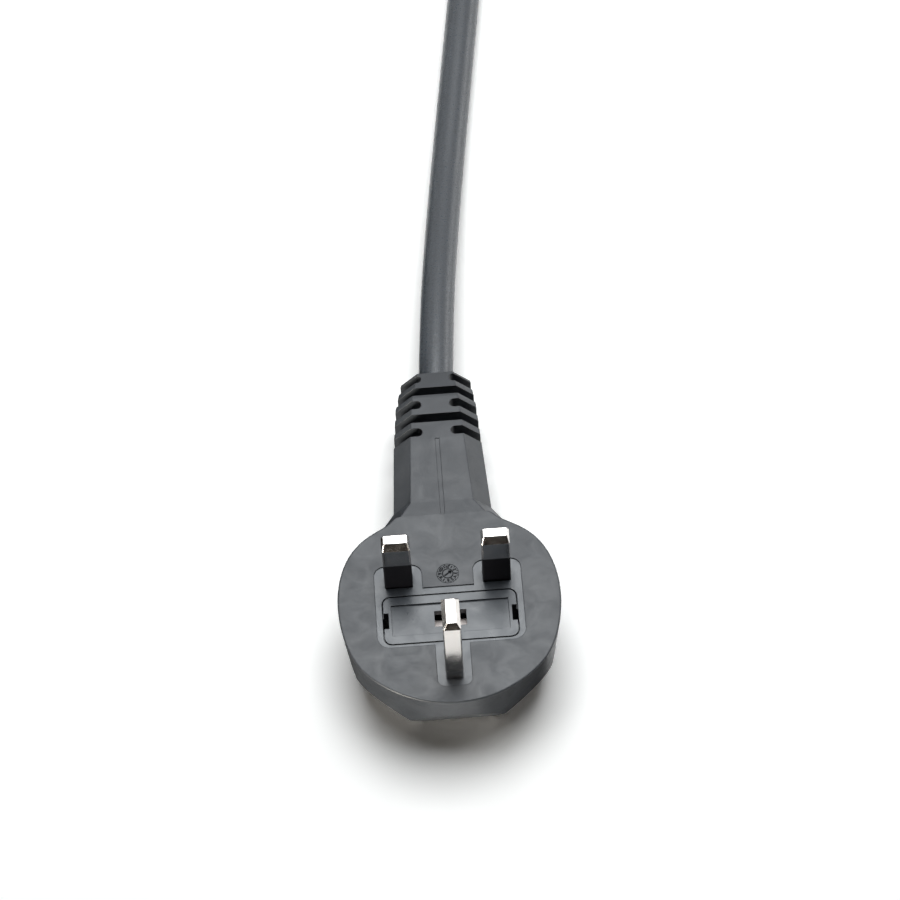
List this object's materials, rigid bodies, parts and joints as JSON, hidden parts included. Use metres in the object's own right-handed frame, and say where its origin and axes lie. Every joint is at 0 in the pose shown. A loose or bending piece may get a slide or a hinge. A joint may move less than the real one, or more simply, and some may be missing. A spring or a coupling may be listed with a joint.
{
  "type": "three-pin charger plug adapter",
  "caption": "Moulded three-pin mains plug with a lift-out fuse carrier, slotted strain relief, short cable and charger connector.",
  "frame": {"origin": "on the plug's flat back, straight below the middle of the line that joins the live and neutral pins", "axes": "+Z out of the pin face, +Y along the cable away from the earth pin, +X towards the live pin"},
  "size_m": [0.0672, 0.4274, 0.0447],
  "materials": {
    "overmould": "fine satin moulded finish, dark grey",
    "carrier_plastic": "smoother rigid plastic, bluish grey, slightly glossy",
    "plated_pin": "bright nickel plate with fine drawing lines",
    "sleeve": "satin black insulation",
    "ceramic": "unglazed off-white ceramic",
    "fuse_metal": "plated end cap",
    "spring_metal": "stamped spring metal",
    "core_blue": "core insulation",
    "core_brown": "core insulation",
    "core_green": "core insulation",
    "bead_resin": "potting resin",
    "lead_insulation": "thin insulation",
    "cable_jacket": "matt elastomer jacket with fine grain",
    "connector_plastic": "fine satin moulded finish, dark grey",
    "insert_plastic": "black rigid plastic",
    "contact_metal": "plated contact",
    "seal_rubber": "soft seal, grey"
  },
  "bodies": {
    "plug_body": {"plug_overmould": "overmould", "pin_carrier": "carrier_plastic", "live_pin": "plated_pin", "neutral_pin": "plated_pin", "earth_pin": "plated_pin", "live_pin_sleeve": "sleeve", "neutral_pin_sleeve": "sleeve", "fuse_clip_pin_side": "spring_metal", "fuse_clip_cord_side": "spring_metal", "neutral_crimp": "spring_metal", "live_crimp": "spring_metal", "earth_crimp": "spring_metal", "neutral_core": "core_blue", "live_core": "core_brown", "earth_core": "core_green", "temperature_bead": "bead_resin", "sensor_leads": "lead_insulation", "cable": "cable_jacket", "connector_strain_relief": "connector_plastic", "connector_shell": "connector_plastic", "contact_insert": "insert_plastic", "live_contact": "contact_metal", "neutral_contact": "contact_metal", "earth_contact": "contact_metal", "sense_contact": "contact_metal", "pilot_contact": "contact_metal", "seal_ring": "seal_rubber"},
    "fuse_carrier": {"fuse_carrier": "carrier_plastic", "fuse_tube": "ceramic", "fuse_cap_pin_side": "fuse_metal", "fuse_cap_cord_side": "fuse_metal"}
  },
  "joints": [
    {"name": "fuse_carrier_slide", "type": "slide", "parent": "plug_body", "child": "fuse_carrier", "axis": [0, 0, 1], "range_m": [0, 0.012]}
  ]
}
